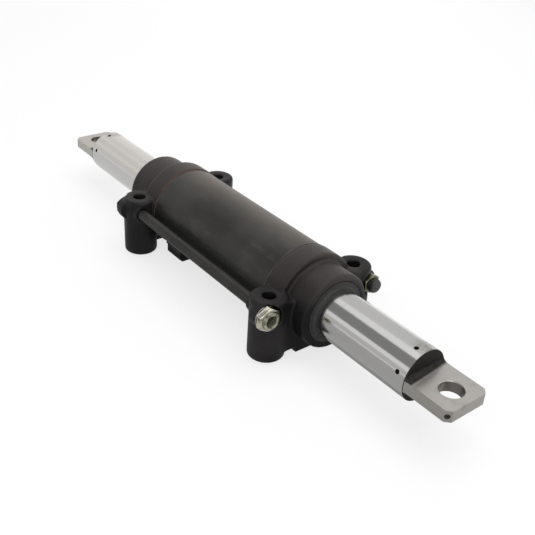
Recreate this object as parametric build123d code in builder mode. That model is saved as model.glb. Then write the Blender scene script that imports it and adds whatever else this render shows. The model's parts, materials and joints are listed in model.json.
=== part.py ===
from build123d import *
import os

# Double-ended power-steering cylinder: a through rod slides and turns in a short barrel
# between two cast heads that stand on four bored feet. Millimetres. The origin is the
# centre of the four foot holes, on the plane of the feet; the rod runs along X, +Z is up.

# Feet and heads
foot_spacing_x = 234
foot_spacing_y = 104
axis_height = 46.5
foot_radius = 18
foot_top_over_axis = 19
foot_edge_chamfer = 2
foot_hole_radius = 6.5
foot_hole_chamfer = 0.8
collar_start = 98
collar_end = 122
collar_radius = 46
collar_chamfer = 1.2
neck_over_foot_left = 45
neck_over_foot_right = 34
neck_radius = 38.5
neck_chamfer = 1.5
screw_seat_radius = 10
shelf_length = 30
shelf_top_over_axis = 16
shelf_thickness = 15
bulkhead_thickness = 12
bulkhead_inset = 1
bulkhead_floor = 7
heel_width = 58
heel_floor = 1

# Barrel
barrel_radius = 45
barrel_chamfer = 1
bore_radius = 37
spigot_radius = 41.5
spigot_end = 114

# Rod with its two flattened ends
rod_radius = 25
rod_slid = -13
step_from_centre = 274
tang_length = 47.5
tang_thickness = 11.4
tang_corner = 5.8
tang_root_fillet = 4
step_chamfer = 0.8
eye_inset = 19
eye_radius = 10.5
eye_chamfer = 0.8
grease_hole_radius = 2.5
grease_hole_lead = 3
spanner_hole_radius = 2.2
spanner_hole_depth = 4
spanner_hole_count = 6
spanner_hole_inset = 9.5
spanner_hole_start = 10

# Piston and its rings
piston_length = 34
piston_gap = 0.4
piston_ring_width = 2.4
piston_ring_depth = 1.5
piston_ring_height = 5
piston_ring_inset = 0.4
piston_ring_pocket = 2.9
piston_ring_gap = 0.2
wear_ring_width = 8
wear_ring_thickness = 2.2
wear_ring_offset = 9.5
piston_seal_width = 6
piston_seal_thickness = 3.4
piston_o_ring_section = 0.9

# Rod guides, pressed against a shoulder in each head by the barrel's end
guide_nose_start = 96
guide_nose_gap = 2
guide_flange_end = 119
guide_body_radius = 33
guide_end_inset = 8
guide_bore_gap = 0.5
bush_start = 99
bush_length = 20
bush_wall = 2.4
rod_seal_start = 124
rod_seal_length = 8
rod_seal_height = 6
rod_seal_lip = 1.6
guide_o_ring_station = 138
guide_o_ring_section = 1.2
wiper_length = 6
wiper_height = 6.4
wiper_lip = 2.2
wiper_lip_root = 2.6
wiper_lip_tip = 0.9
wiper_back_gap = 0.8
wiper_web_gap = 1

# Barrel seals and lock screws
barrel_o_ring_station = 100.3
barrel_o_ring_section = 0.8
lock_screw_station = 108
lock_screw_radius = 2.5
lock_screw_sunk = 0.6
lock_screw_socket_flats = 2.5
lock_screw_socket_depth = 2

# Ports, and the galleries that lead from them to the barrel, outside the foot holes
port_offset_y = 63.5
near_port_over_axis = 5
far_port_over_axis = 0
port_face_over_foot = 10
port_boss_radius = 11.5
port_spot_radius = 13.5
port_thread_radius = 5
port_depth = 7
port_thread_gap = 1
gallery_radius = 2.5
cross_gallery_station = 105.5
cross_gallery_radius = 2.25

# Transfer pipe, and its pocket in each head
pipe_offset_y = 58
pipe_radius = 6
pipe_wall = 2.5
pipe_chamfer = 0.5
pipe_end = 105
pipe_pocket_end = 108
pipe_boss_radius = 8.5
pipe_boss_start = 100.3
pipe_o_ring_station = 102.8
pipe_o_ring_section = 0.6

# Adapters, plugs and their washers
washer_rim = 0.5
washer_thickness = 1.6
washer_face = 0.4
washer_bore_gap = 0.2
hex_flats = 18
near_hex_flats = 22
hex_face_inset = 0.5
hex_length = 6
plug_hex_length = 4
adapter_nose_radius = 9
adapter_nose_length = 2.4
adapter_mouth_radius = 6
adapter_mouth_depth = 6
adapter_bore_radius = 2.5
far_nose_radius = 5.5
far_nose_length = 5
cap_radius = 7.4
cap_length = 6
cap_wall = 1.5
cap_edge_radius = 3
plug_socket_flats = 8
plug_socket_depth = 3

# Saddle under the barrel
saddle_start = -92
saddle_length = 26
saddle_width = 64
saddle_top = 21
saddle_floor = 0
saddle_chamfer = 3

# Clearances, and how far a cut runs past the face that it opens
cut_past = 1
fixed_gap = 0.05
running_gap = 0.04
sliding_gap = 0.05
ring_side_gap = 0.1
ring_root_gap = 0.3

# Worked out from the sizes above
rod_axis = Axis((0, 0, axis_height), (1, 0, 0))
rod_plane = Plane((0, 0, axis_height), x_dir=(1, 0, 0), z_dir=(0, -1, 0))
foot_x = foot_spacing_x / 2
foot_y = foot_spacing_y / 2
foot_height = axis_height + foot_top_over_axis
port_face = foot_x + port_face_over_foot
piston_radius = bore_radius - piston_gap
guide_nose_radius = bore_radius - guide_nose_gap
near_port_height = axis_height + near_port_over_axis
far_port_height = axis_height + far_port_over_axis
rod_tip = step_from_centre + tang_length
eye_from_centre = rod_tip - eye_inset
piston_half = piston_length / 2
piston_ring_root = rod_radius - piston_ring_depth
bulkhead_end = foot_x + foot_radius - bulkhead_inset
bulkhead_start = bulkhead_end - bulkhead_thickness
shelf_top = axis_height + shelf_top_over_axis
collar_floor = axis_height - collar_radius
lock_screw_floor = collar_floor + lock_screw_sunk
gallery_end = cross_gallery_station - gallery_radius
pipe_o_ring_inner = pipe_radius - 2 * pipe_o_ring_section
sides = (-1, 1)


def ring_sketch(start, end, inner, outer):
    """Draw the half section of a ring about the rod axis, from start to end along X."""
    with Locations(((start + end) / 2, (inner + outer) / 2)):
        Rectangle(abs(end - start), outer - inner)


def along_x(station, y, z):
    """A plane that faces +X, centred on a line parallel to the rod."""
    return Plane((station, y, z), x_dir=(0, 1, 0), z_dir=(1, 0, 0))


def along_y(x, station, z):
    """A plane that faces +Y, centred at a given x and height."""
    return Plane((x, station, z), x_dir=(1, 0, 0), z_dir=(0, 1, 0))


def o_ring_sketch(station, inner, section):
    """Draw an O-ring's round section: its inner radius about the rod and its own radius."""
    with Locations((station, inner + section)):
        Circle(section)


def neck_end(side):
    """Station of a head's outer face."""
    return foot_x + (neck_over_foot_left if side < 0 else neck_over_foot_right)


def port_plane(side, foot_side, station):
    """A plane across a port's axis, at a station along the rod; it faces +X."""
    height = near_port_height if foot_side < 0 else far_port_height
    return along_x(side * station, foot_side * port_offset_y, height)


def cross_plane(side, foot_side):
    """A plane across a cross gallery, on the axis of the pipe or of the far port."""
    if foot_side < 0:
        return along_y(side * cross_gallery_station, -pipe_offset_y, near_port_height)
    return along_y(side * cross_gallery_station, port_offset_y, far_port_height)


def fed_sides(side):
    """Feet with a gallery to the barrel: the pipe leads only to the left chamber."""
    return sides if side < 0 else (1,)


def save(built, label):
    """Label a finished piece and write it."""
    built.part.label = label
    export_step(built.part, f"parts/{label}.step")


os.makedirs("parts", exist_ok=True)


# Cast heads. Each has a collar over the barrel's end, a neck round the rod, two tall feet,
# a shelf and a bulkhead that tie the feet to the neck, and bosses for ports and pipe.
def make_head(side):
    with BuildPart() as head:
        with BuildSketch(rod_plane):
            ring_sketch(side * collar_start, side * collar_end, 0, collar_radius)
            ring_sketch(side * collar_end, side * neck_end(side), 0, neck_radius)
        revolve(axis=rod_axis)
        rims = head.edges().filter_by(GeomType.CIRCLE)
        chamfer(rims.group_by(SortBy.RADIUS)[-1], collar_chamfer)
        neck_rim = head.edges().filter_by(GeomType.CIRCLE)
        chamfer(neck_rim.sort_by(Axis.X)[-1 if side > 0 else 0], neck_chamfer)

        # Feet, standing on the mounting plane
        for foot_side in sides:
            foot_centre = (side * foot_x, foot_side * foot_y, 0)
            rim = foot_radius - foot_edge_chamfer
            with BuildSketch(Plane(foot_centre, x_dir=(1, 0, 0), z_dir=(0, -1, 0))):
                with BuildLine():
                    Polyline(
                        (0, 0),
                        (rim, 0),
                        (foot_radius, foot_edge_chamfer),
                        (foot_radius, foot_height - foot_edge_chamfer),
                        (rim, foot_height),
                        (0, foot_height),
                        close=True,
                    )
                make_face()
            revolve(axis=Axis(foot_centre, (0, 0, 1)))

        # Shelf between the feet, over the whole length of a foot
        with BuildSketch(Plane.XY.offset(shelf_top - shelf_thickness)):
            with Locations((side * (bulkhead_end - shelf_length / 2), 0)):
                Rectangle(shelf_length, foot_spacing_y)
        extrude(amount=shelf_thickness)

        # Bulkhead below the shelf on the outer side, with a heel between the feet
        bulkhead_middle = side * (bulkhead_start + bulkhead_end) / 2
        with BuildSketch(Plane.XY.offset(bulkhead_floor)):
            with Locations((bulkhead_middle, 0)):
                Rectangle(bulkhead_thickness, foot_spacing_y)
        extrude(amount=shelf_top - shelf_thickness - bulkhead_floor)
        with BuildSketch(Plane.XY.offset(heel_floor)):
            with Locations((bulkhead_middle, 0)):
                Rectangle(bulkhead_thickness, heel_width)
        extrude(amount=bulkhead_floor - heel_floor)

        # Bosses round the pipe's end, and round each port
        pipe_plane = along_x(side * pipe_boss_start, -pipe_offset_y, near_port_height)
        with BuildSketch(pipe_plane):
            Circle(pipe_boss_radius)
        extrude(amount=side * (foot_x - pipe_boss_start))
        for foot_side in sides:
            with BuildSketch(port_plane(side, foot_side, port_face)):
                Circle(port_boss_radius)
            extrude(amount=-side * (port_face - foot_x))

        # Round spot face for each washer
        for foot_side in sides:
            with BuildSketch(port_plane(side, foot_side, port_face)):
                Circle(port_spot_radius)
            extrude(amount=side * foot_radius, mode=Mode.SUBTRACT)

        # Inside: seat of the barrel and guide flange, guide bore, and wiper pocket
        end = side * neck_end(side)
        guide_end = end - side * (guide_end_inset - fixed_gap)
        wiper_start = end - side * wiper_length
        flange_end = side * guide_flange_end
        with BuildSketch(rod_plane):
            ring_sketch(side * collar_start, flange_end, 0, spigot_radius)
            ring_sketch(flange_end, guide_end, 0, guide_body_radius + fixed_gap)
            ring_sketch(guide_end, end, 0, rod_radius + wiper_web_gap)
            ring_sketch(wiper_start, end, 0, rod_radius + wiper_height)
        revolve(axis=rod_axis, mode=Mode.SUBTRACT)

        # Bolt holes through the feet, with room for a screw's head beside the collar
        with BuildSketch(Plane.XY):
            with Locations((side * foot_x, foot_y), (side * foot_x, -foot_y)):
                Circle(foot_hole_radius)
        extrude(amount=foot_height, mode=Mode.SUBTRACT)
        with BuildSketch(Plane.XY.offset(foot_height)):
            with Locations((side * foot_x, foot_y), (side * foot_x, -foot_y)):
                Circle(screw_seat_radius)
        extrude(amount=collar_radius, mode=Mode.SUBTRACT)
        mouths = head.edges().filter_by(GeomType.CIRCLE)
        mouths = mouths.filter_by_position(Axis.Z, foot_height - 0.1, foot_height + 0.1)
        chamfer(mouths.group_by(SortBy.RADIUS)[0], foot_hole_chamfer)

        # Port threads, each with a gallery along the foot behind it
        for foot_side in sides:
            with BuildSketch(port_plane(side, foot_side, port_face)):
                Circle(port_thread_radius)
            extrude(amount=-side * port_depth, mode=Mode.SUBTRACT)
            with BuildSketch(port_plane(side, foot_side, port_face)):
                Circle(gallery_radius)
            extrude(amount=-side * (port_face - gallery_end), mode=Mode.SUBTRACT)

        # Pocket for the pipe's end
        pocket_plane = along_x(
            side * pipe_pocket_end, -pipe_offset_y, near_port_height
        )
        with BuildSketch(pocket_plane):
            Circle(pipe_radius + fixed_gap)
        extrude(amount=-side * (pipe_pocket_end - collar_start), mode=Mode.SUBTRACT)

        # Cross galleries into the barrel: from the pipe's pocket, and the far gallery
        for foot_side in fed_sides(side):
            with BuildSketch(cross_plane(side, foot_side)):
                Circle(cross_gallery_radius)
            start_y = pipe_offset_y if foot_side < 0 else port_offset_y
            extrude(amount=-foot_side * (start_y - bore_radius), mode=Mode.SUBTRACT)

        # Lock screw hole under the collar
        with BuildSketch(Plane.XY.offset(collar_floor - cut_past)):
            with Locations((side * lock_screw_station, 0)):
                Circle(lock_screw_radius)
        hole_depth = collar_radius - spigot_radius + 2 * cut_past
        extrude(amount=hole_depth, mode=Mode.SUBTRACT)
    return head


head_left = make_head(-1)
save(head_left, "head_left")
head_right = make_head(1)
save(head_right, "head_right")

# Barrel tube, with a thinner spigot in each head and the gallery holes through it
with BuildPart() as barrel_tube:
    with BuildSketch(rod_plane):
        ring_sketch(-collar_start, collar_start, bore_radius, barrel_radius)
        ring_sketch(
            -spigot_end, spigot_end, bore_radius, spigot_radius - fixed_gap
        )
    revolve(axis=rod_axis)
    with BuildSketch(rod_plane):
        for side in sides:
            ring_sketch(
                side * barrel_o_ring_station - barrel_o_ring_section - ring_side_gap,
                side * barrel_o_ring_station + barrel_o_ring_section + ring_side_gap,
                spigot_radius - 2 * (barrel_o_ring_section + fixed_gap),
                spigot_radius,
            )
    revolve(axis=rod_axis, mode=Mode.SUBTRACT)
    for side in sides:
        for foot_side in fed_sides(side):
            with BuildSketch(cross_plane(side, foot_side)):
                Circle(cross_gallery_radius)
            start_y = pipe_offset_y if foot_side < 0 else port_offset_y
            extrude(amount=-foot_side * start_y, mode=Mode.SUBTRACT)
    shoulders = barrel_tube.edges().filter_by(GeomType.CIRCLE)
    chamfer(shoulders.group_by(SortBy.RADIUS)[-1], barrel_chamfer)
save(barrel_tube, "barrel_tube")

# Saddle welded under the barrel
with BuildPart() as saddle:
    with BuildSketch(Plane.XY.offset(saddle_floor)):
        with Locations((saddle_start + saddle_length / 2, 0)):
            Rectangle(saddle_length, saddle_width)
    extrude(amount=saddle_top - saddle_floor)
    chamfer(saddle.edges().filter_by(Axis.X).group_by(Axis.Z)[0], saddle_chamfer)
    with BuildSketch(rod_plane):
        ring_sketch(
            saddle_start - cut_past,
            saddle_start + saddle_length + cut_past,
            0,
            barrel_radius + fixed_gap,
        )
    revolve(axis=rod_axis, mode=Mode.SUBTRACT)
save(saddle, "barrel_saddle")

# O-rings that seal the barrel in the heads
with BuildPart() as barrel_o_rings:
    with BuildSketch(rod_plane):
        for side in sides:
            o_ring_sketch(
                side * barrel_o_ring_station,
                spigot_radius - 2 * barrel_o_ring_section - fixed_gap,
                barrel_o_ring_section,
            )
    revolve(axis=rod_axis)
save(barrel_o_rings, "barrel_o_rings")

# Grub screws that stop the barrel turning in the heads
with BuildPart() as lock_screws:
    for side in sides:
        with BuildSketch(Plane.XY.offset(lock_screw_floor)):
            with Locations((side * lock_screw_station, 0)):
                Circle(lock_screw_radius - fixed_gap)
        extrude(amount=collar_radius - spigot_radius - lock_screw_sunk)
        with BuildSketch(Plane.XY.offset(lock_screw_floor)):
            with Locations((side * lock_screw_station, 0)):
                RegularPolygon(lock_screw_socket_flats / 2, 6, major_radius=False)
        extrude(amount=lock_screw_socket_depth, mode=Mode.SUBTRACT)
save(lock_screws, "barrel_lock_screws")


# Rod guides, one in each head, with a bush, a rod seal and an outer O-ring
def make_guide(side):
    with BuildPart() as guide:
        inner = rod_radius + guide_bore_gap
        start = side * guide_nose_start
        flange_start = side * spigot_end
        flange_end = side * guide_flange_end
        end = side * (neck_end(side) - guide_end_inset)
        with BuildSketch(rod_plane):
            ring_sketch(start, flange_start, inner, guide_nose_radius)
            ring_sketch(flange_start, flange_end, inner, spigot_radius - fixed_gap)
            ring_sketch(flange_end, end, inner, guide_body_radius)
        revolve(axis=rod_axis)
        with BuildSketch(rod_plane):
            ring_sketch(
                side * guide_nose_start,
                side * (bush_start + bush_length),
                inner,
                rod_radius + running_gap + bush_wall + fixed_gap,
            )
            ring_sketch(
                side * (rod_seal_start - ring_side_gap),
                side * (rod_seal_start + rod_seal_length + ring_side_gap),
                inner,
                rod_radius + rod_seal_height + fixed_gap,
            )
            ring_sketch(
                side * guide_o_ring_station - guide_o_ring_section - ring_side_gap,
                side * guide_o_ring_station + guide_o_ring_section + ring_side_gap,
                guide_body_radius - 2 * guide_o_ring_section,
                guide_body_radius,
            )
        revolve(axis=rod_axis, mode=Mode.SUBTRACT)
    return guide


for side, name in ((-1, "left"), (1, "right")):
    save(make_guide(side), f"rod_guide_{name}")

    with BuildPart() as guide_bush:
        with BuildSketch(rod_plane):
            ring_sketch(
                side * bush_start,
                side * (bush_start + bush_length),
                rod_radius + running_gap,
                rod_radius + running_gap + bush_wall,
            )
        revolve(axis=rod_axis)
    save(guide_bush, f"guide_bush_{name}")

    # Lip seal: a solid back and two lips that point towards the oil
    with BuildPart() as rod_seal:
        low = rod_radius + sliding_gap
        high = rod_radius + rod_seal_height
        start = side * rod_seal_start
        end = side * (rod_seal_start + rod_seal_length)
        middle = (start + end) / 2
        with BuildSketch(rod_plane):
            with BuildLine():
                Polyline(
                    (start, low),
                    (end, low),
                    (end, high),
                    (start, high),
                    (start, high - rod_seal_lip),
                    (middle, (low + high) / 2),
                    (start, low + rod_seal_lip),
                    close=True,
                )
            make_face()
        revolve(axis=rod_axis)
    save(rod_seal, f"rod_seal_{name}")

    # Wiper: pressed into the neck, its lip standing out along the rod
    with BuildPart() as wiper:
        low = rod_radius + sliding_gap
        high = rod_radius + wiper_height - fixed_gap
        end = side * neck_end(side)
        start = end - side * wiper_length
        lip_end = end + side * wiper_lip
        with BuildSketch(rod_plane):
            with BuildLine():
                Polyline(
                    (start, low + wiper_back_gap),
                    (start, high),
                    (end, high),
                    (end, low + wiper_lip_root),
                    (lip_end, low + wiper_lip_tip),
                    (lip_end, low),
                    (end, low),
                    close=True,
                )
            make_face()
        revolve(axis=rod_axis)
    save(wiper, f"rod_wiper_{name}")

with BuildPart() as guide_o_rings:
    with BuildSketch(rod_plane):
        for side in sides:
            o_ring_sketch(
                side * guide_o_ring_station,
                guide_body_radius - 2 * guide_o_ring_section + fixed_gap / 2,
                guide_o_ring_section,
            )
    revolve(axis=rod_axis)
save(guide_o_rings, "guide_o_rings")

# Piston rod: round bar with a flat tang at each end, and an eye in each tang
with BuildPart() as piston_rod:
    with BuildSketch(rod_plane):
        ring_sketch(rod_slid - rod_tip, rod_slid + rod_tip, 0, rod_radius)
    revolve(axis=rod_axis)

    # Flats above and below each tang
    flat_height = rod_radius - tang_thickness / 2 + cut_past
    flat_middle = step_from_centre + (tang_length + cut_past) / 2
    with BuildSketch(rod_plane):
        for side in sides:
            for up in sides:
                flat_over_axis = up * (tang_thickness + flat_height) / 2
                with Locations((rod_slid + side * flat_middle, flat_over_axis)):
                    Rectangle(tang_length + cut_past, flat_height)
    extrude(amount=rod_radius + cut_past, both=True, mode=Mode.SUBTRACT)
    roots = piston_rod.edges().filter_by(Axis.Y).filter_by(
        lambda edge: abs(abs(edge.center().X - rod_slid) - step_from_centre) < fixed_gap
    )
    fillet(roots, tang_root_fillet)
    for side in sides:
        step_x = rod_slid + side * step_from_centre
        arcs = piston_rod.edges().filter_by(GeomType.CIRCLE)
        chamfer(arcs.filter_by_position(Axis.X, step_x - 0.01, step_x + 0.01), step_chamfer)

    # Corners of the tangs, cut off square to the flats
    with BuildSketch(Plane.XY.offset(axis_height)):
        for side in sides:
            for across in sides:
                tip_x = rod_slid + side * rod_tip
                edge_y = across * rod_radius
                with BuildLine():
                    Polyline(
                        (tip_x - side * tang_corner, edge_y),
                        (tip_x, edge_y),
                        (tip_x, edge_y - across * tang_corner),
                        close=True,
                    )
                make_face()
    extrude(amount=tang_thickness, both=True, mode=Mode.SUBTRACT)

    # Eyes
    for side in sides:
        eye_x = rod_slid + side * eye_from_centre
        with Locations(Plane((eye_x, 0, axis_height + tang_thickness / 2))):
            Hole(eye_radius, depth=tang_thickness)
    eye_rims = piston_rod.edges().filter_by(GeomType.CIRCLE).filter_by(
        lambda edge: abs(edge.radius - eye_radius) < 0.01
    )
    chamfer(eye_rims, eye_chamfer)

    # Grease holes, from one cut corner of each tang into its eye
    for side in sides:
        corner = Vector(
            rod_slid + side * (rod_tip - tang_corner / 2),
            -(rod_radius - tang_corner / 2),
            axis_height,
        )
        eye = Vector(rod_slid + side * eye_from_centre, 0, axis_height)
        inward = (eye - corner).normalized()
        with BuildSketch(Plane(corner - inward * grease_hole_lead, z_dir=inward)):
            Circle(grease_hole_radius)
        extrude(amount=(eye - corner).length, mode=Mode.SUBTRACT)

    # Ring of blind spanner holes near each step
    for side in sides:
        station = rod_slid + side * (step_from_centre - spanner_hole_inset)
        for turn in range(spanner_hole_count):
            angle = spanner_hole_start + turn * 360 / spanner_hole_count
            outward = Vector(0, 1, 0).rotate(Axis.X, angle + 90)
            centre = Vector(station, 0, axis_height) + outward * (rod_radius + cut_past)
            with BuildSketch(Plane(centre, x_dir=(1, 0, 0), z_dir=-outward)):
                Circle(spanner_hole_radius)
            extrude(amount=spanner_hole_depth + cut_past, mode=Mode.SUBTRACT)

    # Grooves for the rings that hold the piston
    with BuildSketch(rod_plane):
        for side in sides:
            ring_end = rod_slid + side * (piston_half - piston_ring_inset)
            ring_start = ring_end - side * (piston_ring_width + ring_side_gap)
            ring_sketch(ring_start, ring_end, piston_ring_root, rod_radius + cut_past)
    revolve(axis=rod_axis, mode=Mode.SUBTRACT)
save(piston_rod, "piston_rod")

# Piston, with grooves for its seal and wear rings and a pocket for each retaining ring
piston_bore = rod_radius + fixed_gap
seal_root = bore_radius - piston_seal_thickness
wear_root = bore_radius - wear_ring_thickness - sliding_gap - ring_root_gap
with BuildPart() as piston:
    with BuildSketch(rod_plane):
        ring_sketch(
            rod_slid - piston_half, rod_slid + piston_half, piston_bore, piston_radius
        )
    revolve(axis=rod_axis)
    with BuildSketch(rod_plane):
        seal_half = piston_seal_width / 2 + ring_side_gap
        ring_sketch(rod_slid - seal_half, rod_slid + seal_half, seal_root, bore_radius)
        wear_half = wear_ring_width / 2 + ring_side_gap
        for side in sides:
            wear_x = rod_slid + side * wear_ring_offset
            ring_sketch(wear_x - wear_half, wear_x + wear_half, wear_root, bore_radius)
            ring_sketch(
                rod_slid + side * (piston_half - piston_ring_pocket),
                rod_slid + side * (piston_half + cut_past),
                piston_bore - cut_past,
                piston_ring_root + piston_ring_height + piston_ring_gap,
            )
        o_ring_half = piston_o_ring_section + ring_side_gap
        ring_sketch(
            rod_slid - o_ring_half,
            rod_slid + o_ring_half,
            piston_bore - cut_past,
            piston_bore + 2 * piston_o_ring_section,
        )
    revolve(axis=rod_axis, mode=Mode.SUBTRACT)
save(piston, "piston")

with BuildPart() as piston_o_ring:
    with BuildSketch(rod_plane):
        o_ring_sketch(rod_slid, rod_radius + fixed_gap / 2, piston_o_ring_section)
    revolve(axis=rod_axis)
save(piston_o_ring, "piston_o_ring")

with BuildPart() as piston_seal:
    with BuildSketch(rod_plane):
        ring_sketch(
            rod_slid - piston_seal_width / 2,
            rod_slid + piston_seal_width / 2,
            seal_root + ring_root_gap,
            bore_radius - sliding_gap,
        )
    revolve(axis=rod_axis)
save(piston_seal, "piston_seal")

with BuildPart() as wear_rings:
    with BuildSketch(rod_plane):
        for side in sides:
            wear_x = rod_slid + side * wear_ring_offset
            ring_sketch(
                wear_x - wear_ring_width / 2,
                wear_x + wear_ring_width / 2,
                wear_root + ring_root_gap,
                bore_radius - sliding_gap,
            )
    revolve(axis=rod_axis)
save(wear_rings, "piston_wear_rings")

with BuildPart() as retaining_rings:
    with BuildSketch(rod_plane):
        for side in sides:
            ring_end = piston_half - piston_ring_inset - ring_side_gap / 2
            ring_sketch(
                rod_slid + side * (ring_end - piston_ring_width),
                rod_slid + side * ring_end,
                piston_ring_root + fixed_gap,
                piston_ring_root + piston_ring_height,
            )
    revolve(axis=rod_axis)
save(retaining_rings, "piston_retaining_rings")

# Transfer pipe along the barrel, with an O-ring in a groove round each end
with BuildPart() as transfer_pipe:
    with BuildSketch(along_x(-pipe_end, -pipe_offset_y, near_port_height)):
        Circle(pipe_radius)
        Circle(pipe_radius - pipe_wall, mode=Mode.SUBTRACT)
    extrude(amount=2 * pipe_end)
    pipe_rims = transfer_pipe.edges().filter_by(GeomType.CIRCLE)
    chamfer(pipe_rims.group_by(SortBy.RADIUS)[-1], pipe_chamfer)
    for side in sides:
        groove_start = side * pipe_o_ring_station - pipe_o_ring_section - ring_side_gap
        groove_plane = along_x(groove_start, -pipe_offset_y, near_port_height)
        with BuildSketch(groove_plane):
            Circle(pipe_radius)
            Circle(pipe_o_ring_inner - fixed_gap, mode=Mode.SUBTRACT)
        extrude(
            amount=2 * (pipe_o_ring_section + ring_side_gap), mode=Mode.SUBTRACT
        )
save(transfer_pipe, "transfer_pipe")

with BuildPart() as pipe_o_rings:
    for side in sides:
        ring_plane = along_x(
            side * pipe_o_ring_station, -pipe_offset_y, near_port_height
        )
        with Locations(ring_plane):
            Torus(pipe_o_ring_inner + pipe_o_ring_section, pipe_o_ring_section)
save(pipe_o_rings, "pipe_o_rings")


def fitting_flats(side, foot_side):
    """Size across flats of the hex in a port: the near right one takes the larger hose."""
    return near_hex_flats if (side, foot_side) == (1, -1) else hex_flats


def make_fitting(side, foot_side, length):
    """Hex, washer face and thread of a fitting that screws into a port."""
    seat = port_face + washer_thickness
    flats = fitting_flats(side, foot_side)
    with BuildPart() as fitting:
        with BuildSketch(port_plane(side, foot_side, seat)):
            RegularPolygon(flats / 2, 6, major_radius=False, rotation=30)
        extrude(amount=side * length)
        with BuildSketch(port_plane(side, foot_side, seat)):
            Circle(flats / 2 - hex_face_inset)
        extrude(amount=-side * washer_face)
        with BuildSketch(port_plane(side, foot_side, seat - washer_face)):
            Circle(port_thread_radius - fixed_gap)
        thread_length = washer_thickness - washer_face + port_depth - port_thread_gap
        extrude(amount=-side * thread_length)
    return fitting


# Near adapter: feeds the transfer pipe, open mouth with a female thread
hex_end = port_face + washer_thickness + hex_length
thread_end = port_face - port_depth
near_blank = make_fitting(1, -1, hex_length)
near_mouth = hex_end + adapter_nose_length
with BuildPart() as near_adapter:
    add(near_blank.part)
    with BuildSketch(port_plane(1, -1, hex_end)):
        Circle(adapter_nose_radius)
    extrude(amount=adapter_nose_length)
    with BuildSketch(port_plane(1, -1, near_mouth)):
        Circle(adapter_mouth_radius)
    extrude(amount=-adapter_mouth_depth, mode=Mode.SUBTRACT)
    with BuildSketch(port_plane(1, -1, near_mouth)):
        Circle(adapter_bore_radius)
    extrude(amount=-(near_mouth - thread_end), mode=Mode.SUBTRACT)
save(near_adapter, "near_port_adapter")

# Far adapter: feeds the right chamber, with a nose for a hose and a cap on it
far_blank = make_fitting(1, 1, hex_length)
far_mouth = hex_end + far_nose_length
with BuildPart() as far_adapter:
    add(far_blank.part)
    with BuildSketch(port_plane(1, 1, hex_end)):
        Circle(far_nose_radius)
    extrude(amount=far_nose_length)
    with BuildSketch(port_plane(1, 1, far_mouth)):
        Circle(adapter_bore_radius)
    extrude(amount=-(far_mouth - thread_end), mode=Mode.SUBTRACT)
save(far_adapter, "far_port_adapter")

cap_end = far_mouth + fixed_gap + cap_wall
with BuildPart() as port_cap:
    with BuildSketch(port_plane(1, 1, cap_end - cap_length)):
        Circle(cap_radius)
    extrude(amount=cap_length)
    fillet(port_cap.edges().sort_by(Axis.X)[-1], cap_edge_radius)
    with BuildSketch(port_plane(1, 1, cap_end - cap_length)):
        Circle(far_nose_radius + fixed_gap)
    extrude(amount=cap_length - cap_wall, mode=Mode.SUBTRACT)
save(port_cap, "far_port_cap")

# Blank plugs in the two ports of the left head
plug_blanks = [make_fitting(-1, foot_side, plug_hex_length) for foot_side in sides]
plug_end = port_face + washer_thickness + plug_hex_length
with BuildPart() as port_plugs:
    for foot_side, blank in zip(sides, plug_blanks):
        add(blank.part)
        with BuildSketch(port_plane(-1, foot_side, plug_end)):
            RegularPolygon(plug_socket_flats / 2, 6, major_radius=False)
        extrude(amount=plug_socket_depth, mode=Mode.SUBTRACT)
save(port_plugs, "left_port_plugs")

# Bonded washers under the four hexes
with BuildPart() as port_washers:
    for side in sides:
        for foot_side in sides:
            with BuildSketch(port_plane(side, foot_side, port_face)):
                Circle(fitting_flats(side, foot_side) / 2 + washer_rim)
                Circle(port_thread_radius + washer_bore_gap, mode=Mode.SUBTRACT)
            extrude(amount=side * (washer_thickness - washer_face))
save(port_washers, "port_washers")
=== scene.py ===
import json
import math

import bpy
from mathutils import Matrix, Vector

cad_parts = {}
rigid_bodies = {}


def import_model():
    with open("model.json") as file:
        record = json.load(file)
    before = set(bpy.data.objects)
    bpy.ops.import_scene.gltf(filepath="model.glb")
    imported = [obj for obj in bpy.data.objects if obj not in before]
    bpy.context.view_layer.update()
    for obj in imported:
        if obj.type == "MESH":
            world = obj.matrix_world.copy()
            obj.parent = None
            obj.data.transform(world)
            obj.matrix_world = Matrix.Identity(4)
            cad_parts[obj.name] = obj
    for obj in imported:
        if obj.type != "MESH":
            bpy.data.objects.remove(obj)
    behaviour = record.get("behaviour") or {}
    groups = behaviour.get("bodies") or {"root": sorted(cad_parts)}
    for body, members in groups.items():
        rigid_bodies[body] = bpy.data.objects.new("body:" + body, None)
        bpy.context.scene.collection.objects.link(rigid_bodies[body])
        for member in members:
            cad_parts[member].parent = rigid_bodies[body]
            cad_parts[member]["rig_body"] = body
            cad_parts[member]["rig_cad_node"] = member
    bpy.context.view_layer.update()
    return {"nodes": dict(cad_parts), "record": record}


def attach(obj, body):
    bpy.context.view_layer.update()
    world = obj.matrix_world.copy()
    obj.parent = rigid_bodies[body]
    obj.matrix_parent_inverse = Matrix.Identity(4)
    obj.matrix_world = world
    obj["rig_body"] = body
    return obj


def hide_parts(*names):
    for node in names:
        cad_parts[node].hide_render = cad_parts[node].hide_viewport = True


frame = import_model()
nodes = frame["nodes"]
print("frame loaded:", len(nodes), "nodes")

mm = 0.001

# sizes shared by several pieces, in millimetres
cylinder = {
    "axisHeight": 46.5,
    "rodSlid": -13,
    "stepFromCentre": 274,
    "rodTip": 321.5,
    "eyeInset": 19,
    "portFace": 127,
    "portY": 63.5,
    "portDepth": 7,
    "washer": 1.6,
    "nearPortHeight": 51.5,
    "farPortHeight": 46.5,
    "collarStart": 98,
    "barrelRadius": 45,
}


# ---- small helpers

def inMetres(sizes):
    return [size * mm for size in sizes]


def nameBoth(piece, name):
    piece.name = name
    piece.data.name = name


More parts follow.
